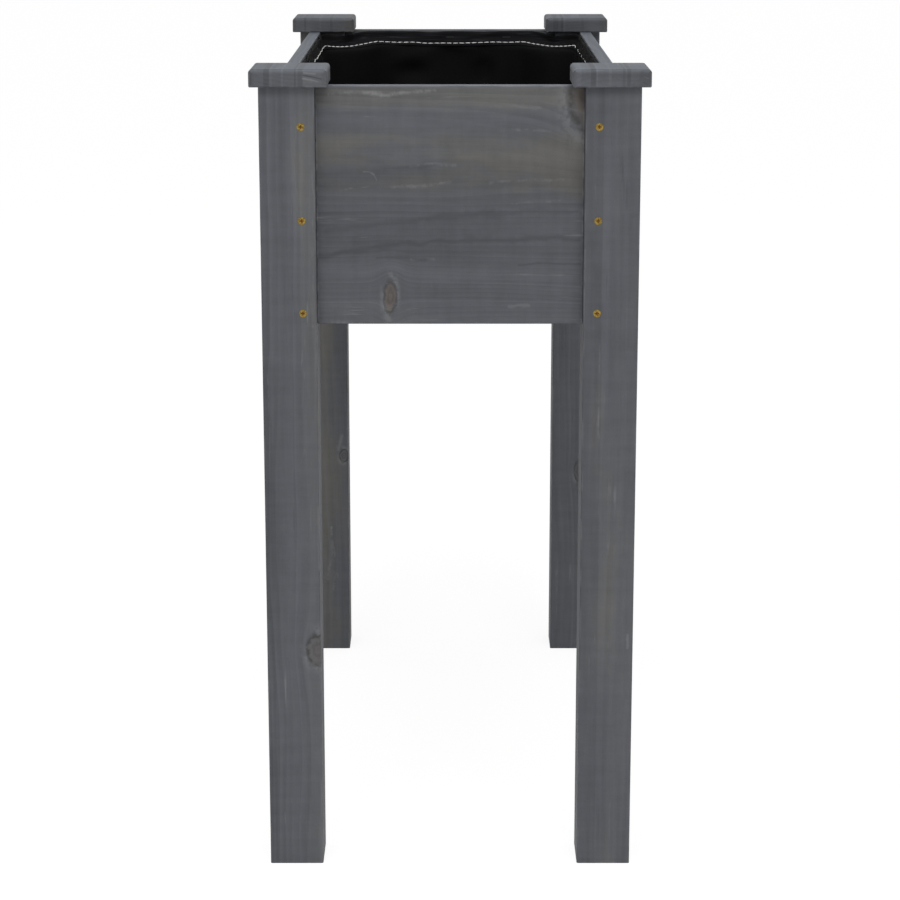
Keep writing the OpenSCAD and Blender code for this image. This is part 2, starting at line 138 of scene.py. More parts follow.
class Finish:
    """A node tree on Object coordinates. node() makes every node."""

    def __init__(self, tree):
        self.tree = tree
        self.tree.nodes.clear()

    def node(self, kind, settings=None, sockets=None, output=0):
        """Adds a node: its settings first, then the values or links of its sockets."""
        made = self.tree.nodes.new("ShaderNode" + kind)
        for key, setting in (settings or {}).items():
            setattr(made, key, setting)
        for key, value in (sockets or {}).items():
            if isinstance(value, Value):
                self.tree.links.new(value.socket, made.inputs[key])
            else:
                made.inputs[key].default_value = value
        return Value(self, made.outputs[output]) if made.outputs else None

    def math(self, operation, *values):
        return self.node("Math", {"operation": operation}, dict(enumerate(values)))

    def split(self, vector):
        first = self.node("SeparateXYZ", None, {0: vector})
        return [Value(self, output) for output in first.socket.node.outputs]

    def join(self, x, y, z):
        return self.node("CombineXYZ", None, {0: x, 1: y, 2: z})

    def places(self):
        return self.split(self.node("TexCoord", None, None, "Object"))

    def smooth(self, value, low, high):
        """0 below low and 1 above high, with a smooth step between them."""
        return self.node(
            "MapRange",
            {"interpolation_type": "SMOOTHSTEP"},
            {"Value": value, "From Min": low, "From Max": high},
        )

    def noise(self, vector, scale=1.0, detail=2.0, roughness=0.5):
        return self.node(
            "TexNoise",
            None,
            {"Vector": vector, "Scale": scale, "Detail": detail, "Roughness": roughness},
        )

    def mix(self, factor, under, over):
        return self.node("Mix", {"data_type": "RGBA"}, {0: factor, 6: under, 7: over}, 2)

    def scaled(self, colour, factor):
        vector = colour if isinstance(colour, Value) else colour[:3]
        return self.node("VectorMath", {"operation": "SCALE"}, {0: vector, "Scale": factor})

    def surface(self, colour, roughness, height, constants=None):
        """The shader, with a relief in metres, and what is the same all over on its own sockets."""
        bump = self.node("Bump", None, {"Strength": 1.0, "Distance": 1.0, "Height": height})
        sockets = {"Base Color": colour, "Roughness": roughness, "Normal": bump}
        sockets.update(constants or {})
        shader = self.node("BsdfPrincipled", None, sockets)
        self.node("OutputMaterial", None, {"Surface": shader})


def linear(code):
    """A colour as the shaders take it, from its usual code such as #808080."""
    parts = [int(code[i : i + 2], 16) / 255 for i in (1, 3, 5)]
    light = [part / 12.92 if part <= 0.04045 else ((part + 0.055) / 1.055) ** 2.4 for part in parts]
    return (*light, 1.0)


def new_finish(name):
    material = bpy.data.materials.new(name)
    material.use_nodes = True
    return material, Finish(material.node_tree)


def camera_sees(finish):
    """1 for what the camera, a gloss or a clear surface sees, and 0 for what lights the object."""
    sees = [
        finish.node("LightPath", None, None, name)
        for name in ("Is Camera Ray", "Is Glossy Ray", "Is Transmission Ray")
    ]
    return finish.math("MAXIMUM", finish.math("MAXIMUM", sees[0], sees[1]), sees[2])


def make_world():
    world = bpy.data.worlds.new("studio_world")
    world.use_nodes = True
    bpy.context.scene.world = world
    finish = Finish(world.node_tree)
    seen = camera_sees(finish)
    strength = SKY + (CLEAR_WHITE - SKY) * seen
    light = finish.node("Background", None, {"Color": (1, 1, 1, 1), "Strength": strength})
    finish.node("OutputWorld", None, {"Surface": light})


def make_floor():
    bm = bmesh.new()
    bmesh.ops.create_grid(bm, x_segments=1, y_segments=1, size=FLOOR_SIZE / 2)
    bmesh.ops.translate(bm, verts=bm.verts, vec=(0, 0, cad_low.z))
    floor = new_piece("studio_floor", bm)
    material, finish = new_finish("studio_white")
    white = (FLOOR_WHITE, FLOOR_WHITE, FLOOR_WHITE, 1)
    matt = finish.node("BsdfDiffuse", None, {"Color": white})
    glow = finish.node("Emission", None, {"Color": (1, 1, 1, 1), "Strength": GLOW_WHITE})
    share = camera_sees(finish) * FLOOR_GLOW
    both = finish.node("MixShader", None, {0: share, 1: matt, 2: glow})
    finish.node("OutputMaterial", None, {"Surface": both})
    floor.data.materials.append(material)


def new_piece(name, bm, smooth=False):
    """A new object at the origin that holds a finished bmesh."""
    mesh = bpy.data.meshes.new(name)
    bm.to_mesh(mesh)
    bm.free()
    for face in mesh.polygons:
        face.use_smooth = smooth
    piece = bpy.data.objects.new(name, mesh)
    bpy.context.scene.collection.objects.link(piece)
    return piece


# ---- Stained wood

COOL_STAIN = linear("#4e5055")
WARM_STAIN = linear("#545351")
# A painted reflection of the sky, for the top faces.
SKY_REFLECTION_BLUE = linear("#4c525a")
DEEP_STAIN = linear("#383a3e")
PALE_WOOD = linear("#868788")
KNOT_BROWN = linear("#544d47")
KNOT_DARK = linear("#33312f")
AXES = {"x": (0, 2, 1), "y": (1, 2, 0), "z": (2, 0, 1)}   # along the grain, across and deep

RING_GAP = 4.2 * MM
RING_DRIFT = 34.0 * MM    # how far the rings wander across the grain
RING_SWING = 28.0 * MM    # and through the depth
LATE_MEAN = 0.35          # of the dark part of the rings
LATE_TONE = 0.17

FIGURES = {               # cycles a metre along and across the grain, detail and roughness
    "fine": (14.0, 420.0, 2.0, 0.5),
    "medium": (3.4, 85.0, 4.0, 0.6),
    "broad": (2.0, 26.0, 3.0, 0.55),
    "patches": (6.0, 15.0, 4.0, 0.6),
    "wisps": (9.0, 120.0, 4.0, 0.7),
    "sawn": (105.0, 12.0, 3.0, 0.6),
    "mottle": (60.0, 75.0, 4.0, 0.7),
    "wear": (30.0, 90.0, 3.0, 0.5),
}
DRAWN_OUT = ("medium", "broad")   # the figures that depth_run draws out
TONES = {                 # how much a figure changes the tone of the stain
    "fine": 0.14,
    "medium": 0.42,
    "broad": 0.52,
    "patches": 0.38,
    "sawn": 0.25,
    "mottle": 0.22,
}

KNOT_DEPTH = 18.0 * MM
KNOT_PULL = 0.8           # how far the grain bends round a knot
KNOT_UNEVEN = 0.9         # how uneven its outline is, and less so above the next size
KNOT_LARGE = 18.0 * MM
KNOT_RINGS = 13.0         # radians to a half size
KNOT_RAGGED = 130.0       # cycles a metre of the noise on it, as in the next five
STROKE_WANDER = 38.0
DARK_RAGGED = 60.0
PALE_RAGGED = 210.0
PALE_BREAKS = 85.0
BAND_WAVES = 11.0
STROKE_DEPTH = 4.0 * MM
SHORT_STROKE = 25.0 * MM  # up to this a pale stroke isn't broken up
BAND_DEPTH = 2.5 * MM
END_GRAIN = (0.4 * MM, 0.9 * MM)
WORN_REACH = 2.4 * MM     # in from the edges

KNOT_HALO = 0.25          # the shares of pale or deep colour in each kind of mark
WORN_PALE = 0.30
DRY_PALE = 0.30
SOAKED_DEEP = 0.35

FINE_RELIEF = 0.10 * MM
MEDIUM_RELIEF = 0.20 * MM
LATE_RELIEF = 0.05 * MM
KNOT_RELIEF = 0.10 * MM
RIM_RELIEF = 0.20 * MM    # sunk


def flat_axes(face):
    """The axis that a face such as -y looks along, its sign, and the two axes of its plane."""
    normal = "xyz".index(face[1])
    flat = [i for i in range(3) if i != normal]
    return normal, (-1 if face[0] == "-" else 1), flat


def near_face(finish, places, half, face, reach):
    """1 on a face of the piece, and 0 deeper than the reach."""
    normal, sign, _ = flat_axes(face)
    depth = half[normal] - places[normal] * sign
    return 1 - finish.smooth(depth, reach * 0.6, reach)


def knot_marks(finish, places, half, grain, knot):
    """Pulls the grain round a knot, and returns the masks of its wood, rim, pale side and rings.
    How far out a place is counts in half sizes of the knot, so that its rim lies near 1."""
    face, at, size, dark = knot
    _, _, flat = flat_axes(face)
    side = flat[0] if flat[1] == grain else flat[1]
    across = places[side] - at[flat.index(side)]
    near = near_face(finish, places, half, face, KNOT_DEPTH)
    ragged = finish.noise(finish.join(*places), KNOT_RAGGED, 3.0, 0.6)
    u = (places[grain] - at[flat.index(grain)]) / size[flat.index(grain)]
    v = across / size[flat.index(side)]
    uneven = KNOT_UNEVEN * min(1.0, KNOT_LARGE / max(size))
    out = finish.math("SQRT", u * u + v * v) + (ragged - 0.5) * uneven
    eye = finish.math("EXPONENT", 0 - (u * u / 4.0 + v * v / 2.4))
    places[side] = places[side] - across * eye * near * KNOT_PULL
    wood = (1 - finish.smooth(out, 0.55, 1.05)) * near
    rim = finish.smooth(out, 0.72, 0.95) * (1 - finish.smooth(out, 0.95, 1.22)) * near
    rim = rim * finish.smooth(ragged, 0.36, 0.56) * (0.50 + 0.4 * dark)
    halo = finish.smooth(out, 0.85, 1.15) * (1 - finish.smooth(out, 1.15, 1.90)) * near
    pale = halo * finish.smooth(finish.math("ABSOLUTE", u + v * 0.8), 0.5, 1.2)
    pale = pale * finish.smooth(ragged, 0.34, 0.60)
    rings = finish.math("SINE", out * KNOT_RINGS) * 0.5 + 0.5
    return wood, rim, pale, rings, dark


def stroke_mask(finish, places, half, stroke):
    """A soft line on one face, bowed to one side. A long pale one is broken up along its length."""
    face, start, end, bow, width, strength = stroke
    _, _, flat = flat_axes(face)
    step = (end[0] - start[0], end[1] - start[1])
    length = math.hypot(*step)
    place = finish.join(*places)
    wander = (finish.noise(place, STROKE_WANDER, 3.0) - 0.5) * (width * 3.0)
    over = places[flat[0]] - start[0]
    up = places[flat[1]] - start[1]
    share = (over * step[0] + up * step[1]) / length**2
    held = finish.math("MINIMUM", finish.math("MAXIMUM", share, 0.0), 1.0)
    bend = held * (1 - held) * (4 * bow) + wander
    over = over - held * step[0] + bend * (step[1] / length)
    up = up - held * step[1] - bend * (step[0] / length)
    away = finish.math("SQRT", over * over + up * up)
    dark = strength < 0
    ragged = finish.noise(place, DARK_RAGGED if dark else PALE_RAGGED, 4.0, 0.65)
    line = 1 - finish.smooth(away / ((ragged * 2.4 - 0.1) * width), 0.0, 1.0)
    if not dark and length > SHORT_STROKE:
        line = line * finish.smooth(finish.noise(place, PALE_BREAKS, 4.0, 0.70), 0.38, 0.66)
    return line * near_face(finish, places, half, face, STROKE_DEPTH)


def band_mask(finish, places, half, band):
    """A band on one face, or right through the piece, between two distances from its centre."""
    face, axis, low, high, soft, _, _ = band
    place = places["xyz".index(axis)]
    waves = (finish.noise(finish.join(*places), BAND_WAVES, 3.0) - 0.5) * (soft * 2.6)
    rise = finish.smooth(place + waves, low - soft, low + soft)
    fall = finish.smooth(place + waves, high - soft, high + soft)
    mask = rise * (1 - fall)
    return mask if face == "all" else mask * near_face(finish, places, half, face, BAND_DEPTH)


def edge_nearness(finish, places, half, reach):
    """1 at the edges of a box-shaped piece and 0 a little way in. The middle one of the depths
    below its faces says how near an edge is."""
    a, b, c = [half[i] - finish.math("ABSOLUTE", places[i]) for i in range(3)]
    low = finish.math("MINIMUM", a, b)
    high = finish.math("MAXIMUM", a, b)
    middle = finish.math("MAXIMUM", low, finish.math("MINIMUM", high, c))
    return 1 - finish.smooth(middle, 0.0, reach)


def stained_wood(
    node,
    grain_axis,
    pith,
    seed,
    tone=1.0,
    warmth=0.5,
    depth_run=1.0,
    knots=(),
    strokes=(),
    bands=(),
):
    """Stained softwood on one piece. The rings are circles round the pith, a line along the grain
    at pith = (across, deep) from the piece's centre, so that every face and end shows the same
    tree. A depth_run under 1 draws the figure out through the depth, as in a cap cut on the
    quarter."""
    low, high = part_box(node)
    centre = (low + high) / 2
    half = (high - low) / 2
    material, finish = new_finish(node + "_stain")
    raw = finish.places()
    places = [raw[i] - centre[i] for i in range(3)]
    untouched = list(places)
    grain, across, deep = AXES[grain_axis]
    marks = [knot_marks(finish, places, half, grain, knot) for knot in knots]

    def stretched(along, side, run=1.0):
        return finish.join(
            places[grain] * along + seed,
            places[across] * side + seed * 2,
            places[deep] * (side * run) - seed,
        )

    def figure(name):
        along, side, detail, roughness = FIGURES[name]
        run = depth_run if name in DRAWN_OUT else 1.0
        return finish.noise(stretched(along, side, run), 1.0, detail, roughness)

    drift = finish.noise(stretched(1.7, 8.0), 1.0, 3.0) - 0.5
    swing = finish.noise(stretched(1.3, 6.0), 1.3, 2.0) - 0.5
    ring_x = places[across] - pith[0] + drift * RING_DRIFT
    ring_y = places[deep] - pith[1] + swing * RING_SWING
    rings = finish.math("SQRT", ring_x * ring_x + ring_y * ring_y) / RING_GAP
    phase = finish.math("FRACT", rings)
    late = finish.smooth(phase, 0.15, 0.85) * (1 - finish.smooth(phase, 0.85, 1.0))
    number = finish.math("FLOOR", rings) + seed
    own = finish.node("TexWhiteNoise", {"noise_dimensions": "1D"}, {"W": number})
    look = {name: figure(name) for name in FIGURES}
    patches = look["patches"]

    shade = tone + (late - LATE_MEAN) * (own * own * LATE_TONE)
    for name, change in TONES.items():
        shade = shade + (look[name] - 0.5) * change
    warm = finish.smooth(patches + (look["broad"] - 0.5) * 0.6 + (warmth - 0.5), 0.34, 0.72)
    colour = finish.mix(warm, COOL_STAIN, WARM_STAIN)

    blotches = finish.smooth(patches, 0.27, 0.52)
    for band in bands:
        mask = band_mask(finish, untouched, half, band)
        shade = shade + mask * band[5]
        if band[6] > 0:
            colour = finish.mix(mask * blotches * band[6], colour, WARM_STAIN)
        else:
            # A bluish band is a painted reflection of the sky on a top face.
            colour = finish.mix(mask * -band[6], colour, SKY_REFLECTION_BLUE)
    for wood, _, _, ring, dark in marks:
        shade = shade + wood * ((ring - 0.5) * 0.22 + 0.05 - 0.22 * dark)
        colour = finish.mix(wood * max(0.1, 1.1 - 1.25 * dark), colour, KNOT_BROWN)
    colour = finish.scaled(colour, shade)

    from_end = half[grain] - finish.math("ABSOLUTE", places[grain])
    ends = 1 - finish.smooth(from_end, *END_GRAIN)
    colour = finish.mix(ends * (late * 0.16 + 0.10), colour, DEEP_STAIN)

    for _, rim, pale, _, _ in marks:
        colour = finish.mix(pale * KNOT_HALO, colour, PALE_WOOD)
        colour = finish.mix(rim, colour, KNOT_DARK)
    for stroke in strokes:
        mask = stroke_mask(finish, untouched, half, stroke)
        strength = stroke[5]
        colour = finish.mix(mask * abs(strength), colour, PALE_WOOD if strength > 0 else DEEP_STAIN)

    taken_up = look["wisps"] + (patches - 0.5) * 0.5
    dry = finish.smooth(taken_up, 0.64, 0.80)
    colour = finish.mix(dry * DRY_PALE, colour, PALE_WOOD)
    soaked = finish.smooth(taken_up, 0.36, 0.22)
    colour = finish.mix(soaked * SOAKED_DEEP, colour, DEEP_STAIN)
    edges = edge_nearness(finish, untouched, half, WORN_REACH)
    worn = edges * finish.smooth(look["wear"], 0.44, 0.66)
    colour = finish.mix(worn * WORN_PALE, colour, PALE_WOOD)

    roughness = 0.70 + (look["medium"] - 0.5) * 0.16 - late * 0.05
    height = look["fine"] * FINE_RELIEF + look["medium"] * MEDIUM_RELIEF + late * LATE_RELIEF
    for wood, rim, _, ring, _ in marks:
        height = height + wood * ring * KNOT_RELIEF - rim * RIM_RELIEF
    finish.surface(colour, roughness, height, {"Specular IOR Level": 0.30})
    put_on(node, material)


def put_on(node, material):
    nodes[node].data.materials.clear()
    nodes[node].data.materials.append(material)


# Knots are (face, place on the face from the piece's centre, half sizes, darkness). Strokes are
# (face, start, end, bow to one side, half width, strength), pale above nought and dark below.
# Bands are (face, axis, low, high, softness, change of tone, warmth), bluish below nought. The
# bluish bands, all on top faces, are a painted reflection of the sky.

POSTS = {
    "front_left_post": {
        "pith": (0.062, 0.085),
        "seed": 3.1,
        "tone": 1.04,
        "warmth": 0.30,
        "knots": [
            ("-y", (0.0248, -0.1735), (0.0118, 0.0175), 0.60),
            ("-x", (-0.008, 0.120), (0.0080, 0.0130), 0.6),
        ],
        "bands": [
            ("-y", "x", -0.029, -0.0200, 0.0014, -0.13, 0.0),
            ("-y", "x", 0.012, 0.030, 0.005, 0.04, 0.3),
            # Painted light: a paler band at the top of the post, painted over the shade under the
            # cap.
            ("-y", "z", 0.396, 0.430, 0.005, 0.16, 0.0),
            ("-y", "z", -0.430, -0.150, 0.060, 0.04, 0.0),
        ],
        "strokes": [
            ("-y", (0.0250, 0.330), (0.0240, 0.170), 0.0006, 0.0012, 0.15),
            ("-y", (-0.0230, 0.120), (-0.0225, 0.030), 0.0008, 0.0010, 0.12),
        ],
    },
    "front_right_post": {
        "pith": (-0.055, 0.095),
        "seed": 11.7,
        "tone": 1.03,
        "warmth": 0.36,
        "knots": [("+x", (0.004, 0.062), (0.0080, 0.0120), 0.5)],
        "bands": [
            ("-y", "x", -0.029, -0.0092, 0.0007, -0.10, 0.0),
            ("-y", "x", -0.0090, -0.0020, 0.0020, 0.05, 0.0),
            ("-y", "x", 0.0020, 0.0300, 0.0050, 0.03, 0.10),
            # Painted light: a paler band at the top of the post, painted over the shade under the
            # cap.
            ("-y", "z", 0.3960, 0.4300, 0.0050, 0.18, 0.0),
            ("-y", "z", -0.430, -0.150, 0.060, 0.04, 0.0),
        ],
        "strokes": [
            ("-y", (0.0225, -0.158), (0.0230, -0.172), 0.0, 0.0022, 0.25),
            ("-y", (-0.0270, 0.249), (-0.0268, 0.200), 0.0, 0.0012, 0.23),
            ("-y", (-0.0110, 0.150), (-0.0120, 0.050), 0.001, 0.0014, 0.12),
        ],
    },
    "rear_left_post": {
        "pith": (0.040, 0.075),
        "seed": 23.4,
        "tone": 1.06,
        "warmth": 0.52,
        "knots": [
            ("-y", (0.0225, -0.1447), (0.0060, 0.0090), 0.9),
            ("+y", (-0.006, 0.180), (0.0090, 0.0140), 0.5),
            ("-x", (0.010, -0.060), (0.0070, 0.0110), 0.3),
        ],
        "strokes": [
            ("-y", (0.0050, -0.243), (-0.0010, -0.315), 0.0015, 0.0026, 0.23),
            ("-y", (0.0055, -0.243), (0.0120, -0.312), -0.0015, 0.0022, 0.19),
            ("-y", (0.0060, -0.285), (0.0065, -0.330), 0.0010, 0.0030, 0.15),
            ("-y", (0.0190, -0.118), (0.0150, -0.136), 0.001, 0.0038, 0.23),
        ],
    },
    "rear_right_post": {
        "pith": (-0.070, 0.060),
        "seed": 37.9,
        "tone": 1.13,
        "warmth": 0.25,
        "knots": [
            ("-y", (0.0070, -0.1655), (0.0055, 0.0140), 0.7),
            ("+x", (-0.010, -0.220), (0.0090, 0.0120), 0.5),
        ],
    },
}

CAPS = {
    "front_left_cap": {
        "pith": (0.150, 0.020),
        "seed": 5.3,
        "warmth": 0.30,
        "tone": 1.03,
        "strokes": [
            # A crack painted on: its dark line is painted shade inside a crack that the cap's shape
            # doesn't have. The pale strokes beside it are a flake.
            ("-y", (0.0160, 0.0030), (0.0335, -0.0005), 0.0004, 0.0010, -0.85),
            ("-y", (0.0155, 0.0000), (0.0300, -0.0030), 0.0006, 0.0012, 0.34),
            ("-y", (0.0165, 0.0055), (0.0280, 0.0045), 0.0, 0.0010, 0.26),
            ("-y", (-0.0360, 0.0040), (-0.0365, -0.0060), 0.0, 0.0012, -0.60),
            ("+z", (-0.0260, 0.0180), (-0.0140, -0.0240), 0.0030, 0.0016, -0.45),
            ("+z", (-0.0120, 0.0260), (-0.0020, -0.0200), 0.0020, 0.0016, 0.30),
        ],
        "bands": [
            # Painted shade: darker at the far left end, for the shade on the cap's rounded left
            # corner.
            ("all", "x", -0.0400, -0.0330, 0.0006, -0.10, 0.0),
            ("all", "x", -0.0235, -0.0180, 0.0006, -0.28, 0.0),
            ("all", "x", -0.0175, -0.0150, 0.0005, 0.14, 0.0),
            ("all", "x", -0.0060, -0.0040, 0.0005, 0.20, 0.0),
            ("all", "x", 0.0070, 0.0086, 0.0004, -0.26, 0.0),
            ("all", "x", 0.0105, 0.0155, 0.0006, -0.20, 0.0),
            ("-y", "x", 0.0155, 0.0340, 0.0008, 0.12, 0.2),
            # Painted sky reflection: the top face made bluish.
            ("+z", "x", -0.0400, 0.0400, 0.0010, 0.0, -0.5),
        ],
    },
    "front_right_cap": {
        "pith": (-0.140, 0.015),
        "seed": 14.2,
        "warmth": 0.34,
        "tone": 1.08,
        "knots": [("+z", (0.0153, -0.0040), (0.0024, 0.0065), 0.9)],
        "strokes": [
            ("-y", (0.0300, -0.0040), (0.0340, -0.0055), 0.0, 0.0014, -0.50),
            ("-y", (0.0310, 0.0020), (0.0350, 0.0000), 0.0, 0.0008, 0.20),
        ],
        "bands": [
            ("all", "x", -0.0360, -0.0310, 0.0006, 0.16, 0.0),
            ("all", "x", -0.0216, -0.0165, 0.0006, -0.28, 0.0),
            ("all", "x", -0.0160, -0.0144, 0.0004, 0.18, 0.0),
            ("all", "x", -0.0040, -0.0010, 0.0005, 0.14, 0.3),
            ("all", "x", 0.0100, 0.0126, 0.0005, -0.18, 0.0),
            ("all", "x", 0.0145, 0.0180, 0.0006, -0.24, 0.0),
            ("-y", "x", 0.0265, 0.0400, 0.0010, -0.10, 0.4),
            # Painted sky reflection: the top face made bluish.
            ("+z", "x", -0.0400, 0.0400, 0.0010, 0.0, -0.5),
        ],
    },
    "rear_left_cap": {
        "pith": (0.160, 0.012),
        "seed": 27.6,
        "tone": 0.84,
        "warmth": 0.35,
        "bands": [
            ("all", "x", -0.0400, -0.0345, 0.0007, -0.14, 0.5),
            ("all", "x", -0.0240, -0.0215, 0.0005, -0.24, 0.0),
            ("all", "x", -0.0050, -0.0020, 0.0006, 0.14, 0.0),
            ("all", "x", 0.0090, 0.0120, 0.0006, -0.20, 0.0),
            ("all", "x", 0.0290, 0.0400, 0.0010, -0.08, 0.6),
            # Painted sky reflection: the top face made bluish.
            ("+z", "x", -0.0400, 0.0400, 0.0010, 0.04, -0.4),
        ],
    },
    "rear_right_cap": {
        "pith": (-0.150, 0.018),
        "seed": 42.8,
        "tone": 0.87,
        "warmth": 0.35,
        "bands": [
            ("all", "x", -0.0300, -0.0235, 0.0006, -0.18, 0.0),
            ("all", "x", -0.0200, -0.0174, 0.0005, -0.24, 0.0),
            ("all", "x", -0.0165, -0.0145, 0.0004, 0.18, 0.0),
            ("all", "x", 0.0060, 0.0090, 0.0006, -0.12, 0.0),
            ("all", "x", 0.0290, 0.0400, 0.0008, -0.14, 0.5),
            # Painted sky reflection: the top face made bluish.
            ("+z", "x", -0.0400, 0.0400, 0.0010, 0.04, -0.4),
        ],
    },
}
CAP_RUN = 0.12            # how little the caps' figure changes through their depth

PITH_SPREAD = 0.05        # how far the pith of a plain piece lies to either side of its centre
PITH_DEPTH = 0.05
SLAT_PITH = -0.04
PLAIN_SEEDS = (50, 90)
PLAIN_WARMTH = 0.8        # of the wood inside the box, which is less evenly stained

BOARDS = {
    "front_board": {
        "grain_axis": "x",
        "pith": (0.052, 0.075),
        "seed": 8.6,
        "tone": 0.98,
        "warmth": 0.30,
        "knots": [
            ("-y", (-0.0608, -0.0935), (0.0068, 0.0180), 0.25),
            ("-y", (0.1400, 0.1080), (0.0215, 0.0340), 0.35),
        ],
        "bands": [
            ("-y", "z", 0.016, 0.070, 0.014, 0.025, 1.0),
            ("-y", "z", 0.100, 0.122, 0.006, 0.030, 0.7),
            # Painted sky reflection: the top face made bluish.
            ("+z", "x", -0.140, 0.140, 0.010, 0.02, -0.5),
        ],
        "strokes": [
            ("-y", (-0.1210, 0.1120), (-0.0700, 0.1140), 0.0010, 0.0026, 0.38),
            ("-y", (-0.0800, 0.1125), (-0.0150, 0.1165), -0.0012, 0.0028, 0.42),
            ("-y", (0.0300, 0.1000), (0.0900, 0.0985), 0.0010, 0.0022, 0.15),
            ("-y", (0.0500, 0.0760), (0.1000, 0.0750), 0.0010, 0.0022, 0.16),
            ("-y", (-0.0400, 0.0400), (0.0050, 0.0420), 0.0012, 0.0024, 0.20),
            ("-y", (-0.0600, 0.0190), (0.0000, 0.0250), -0.0016, 0.0026, 0.21),
            ("-y", (0.0400, 0.0240), (0.1200, 0.0260), 0.0016, 0.0022, 0.18),
            ("-y", (0.0600, 0.0030), (0.1150, 0.0060), -0.0010, 0.0020, 0.15),
            ("-y", (-0.0870, 0.0350), (-0.0760, 0.0320), 0.0010, 0.0012, 0.15),
            ("-y", (-0.0790, 0.0330), (-0.0740, 0.0260), 0.0010, 0.0010, 0.15),
            ("-y", (-0.1100, 0.0160), (-0.0800, 0.0200), 0.0006, 0.0018, 0.17),
            ("-y", (-0.1330, -0.0500), (0.1300, -0.0335), 0.0060, 0.0044, -0.50),
            ("-y", (-0.1250, -0.0265), (0.1280, -0.0050), 0.0050, 0.0042, -0.34),
            ("-y", (-0.0200, -0.0150), (0.0500, -0.0110), 0.0020, 0.0075, -0.24),
            ("-y", (-0.0740, -0.0520), (-0.0250, -0.0550), 0.0010, 0.0020, -0.41),
            ("-y", (0.0700, -0.0600), (0.1330, -0.0590), 0.0010, 0.0020, -0.41),
            ("-y", (-0.0400, -0.0540), (-0.0150, -0.0545), 0.0004, 0.0018, 0.20),
            ("-y", (0.0600, -0.1020), (0.0800, -0.1020), 0.0004, 0.0024, 0.17),
            ("-y", (-0.1300, -0.1190), (-0.0900, -0.1195), 0.0004, 0.0020, 0.23),
        ],
    },
    "rear_board": {
        "grain_axis": "x",
        "pith": (-0.030, -0.090),
        "seed": 19.8,
        "knots": [
            ("+y", (0.070, 0.048), (0.0120, 0.0090), 0.5),
            ("+y", (-0.085, -0.070), (0.0080, 0.0060), 0.2),
        ],
        "strokes": [
            ("+y", (-0.1200, 0.0300), (0.0900, 0.0200), 0.0050, 0.0040, -0.34),
            ("+y", (-0.0500, -0.0300), (0.1300, -0.0420), 0.0040, 0.0035, 0.15),
        ],
    },
    "left_board": {
        "grain_axis": "y",
        "pith": (0.035, 0.110),
        "seed": 31.5,
        # Painted sky reflection: the top face made bluish.
        "bands": [("+z", "y", -0.400, 0.400, 0.010, -0.03, -0.85)],
        "knots": [
            ("-x", (-0.190, 0.052), (0.0170, 0.0120), 0.7),
            ("-x", (0.105, -0.060), (0.0130, 0.0100), 0.3),
            ("-x", (0.265, 0.078), (0.0075, 0.0055), 1.0),
        ],
        "strokes": [
            ("-x", (-0.3300, 0.0050), (0.0500, -0.0100), 0.0080, 0.0045, -0.34),
            ("-x", (-0.0500, 0.0800), (0.3000, 0.0650), 0.0060, 0.0030, 0.15),
            ("+x", (-0.3500, 0.1020), (-0.2300, 0.1060), 0.0010, 0.0050, 0.17),
        ],
    },
    "right_board": {
        "grain_axis": "y",
        "pith": (-0.045, -0.100),
        "seed": 46.3,
        # Painted sky reflection: the top face made bluish.
        "bands": [("+z", "y", -0.400, 0.400, 0.010, -0.03, -0.85)],
        "knots": [
            ("+x", (0.150, -0.048), (0.0180, 0.0125), 0.7),
            ("+x", (-0.230, 0.030), (0.0110, 0.0080), 0.3),
            ("+x", (-0.020, 0.085), (0.0080, 0.0055), 1.0),
        ],
        "strokes": [
            ("+x", (-0.2800, -0.0450), (0.2000, -0.0600), -0.0080, 0.0045, -0.34),
            ("+x", (-0.1000, 0.0400), (0.3200, 0.0300), 0.0060, 0.0030, 0.15),
            ("-x", (-0.3500, 0.1020), (-0.2500, 0.1060), 0.0010, 0.0050, 0.17),
        ],
    },
}


def plain_grain(node):
    """The axis along which a batten, cleat or slat runs."""
    if node.endswith("batten"):
        return "z"
    return "y" if node in ("left_cleat", "right_cleat") else "x"


def finish_wood():
    for node, cut in POSTS.items():
        stained_wood(node, "z", **cut)
    for node, cut in CAPS.items():
        stained_wood(node, "y", depth_run=CAP_RUN, **cut)
    for node, cut in BOARDS.items():
        stained_wood(node, **cut)
    draw = random.Random(7)
    for node in sorted(nodes):
        slat = node.startswith("bottom_slat")
        if slat or node.endswith(("batten", "cleat", "end_slat")):
            spread = draw.uniform(-PITH_SPREAD, PITH_SPREAD)
            seed = draw.uniform(*PLAIN_SEEDS)
            pith = (SLAT_PITH, spread) if slat else (spread, PITH_DEPTH)
            stained_wood(node, plain_grain(node), pith, seed, warmth=PLAIN_WARMTH)


# ---- Fasteners

ZINC = linear("#a48c48")
ZINC_DULL = linear("#7a6636")
# The dark brown of a screw's drive, a painted shade for its recess.
DRIVE_SHADE_BROWN = linear("#805612")
STAPLE_DARK = linear("#2b2c2e")
BEECH = linear("#c4a277")
BEECH_DEEP = linear("#a27f57")
SCREW_HEAD = 4.0 * MM     # radius of a post screw's head
DRIVE_SHADE_REACH = (1.2 * MM, 2.3 * MM)
HEAD_RIM = (3.1 * MM, 3.9 * MM)
SCREW_ROWS = {"post_end_screws": ("x", 3), "post_side_screws": ("y", 2)}   # side of a post, rows


def screw_radius(finish, node):
    """The distance from the nearest screw's axis, worked out from the box round the screws."""
    low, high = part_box(node)
    side, rows = SCREW_ROWS[node]
    place = dict(zip("xyz", finish.places()))
    line = getattr(high, side) - SCREW_HEAD
    across = finish.math("ABSOLUTE", place[side]) - line
    pitch = (high.z - low.z - 2 * SCREW_HEAD) / (rows - 1)
    row = (place["z"] - (low.z + SCREW_HEAD)) / pitch + 0.5
    up = (finish.math("FRACT", row) - 0.5) * pitch
    return finish.math("SQRT", across * across + up * up)


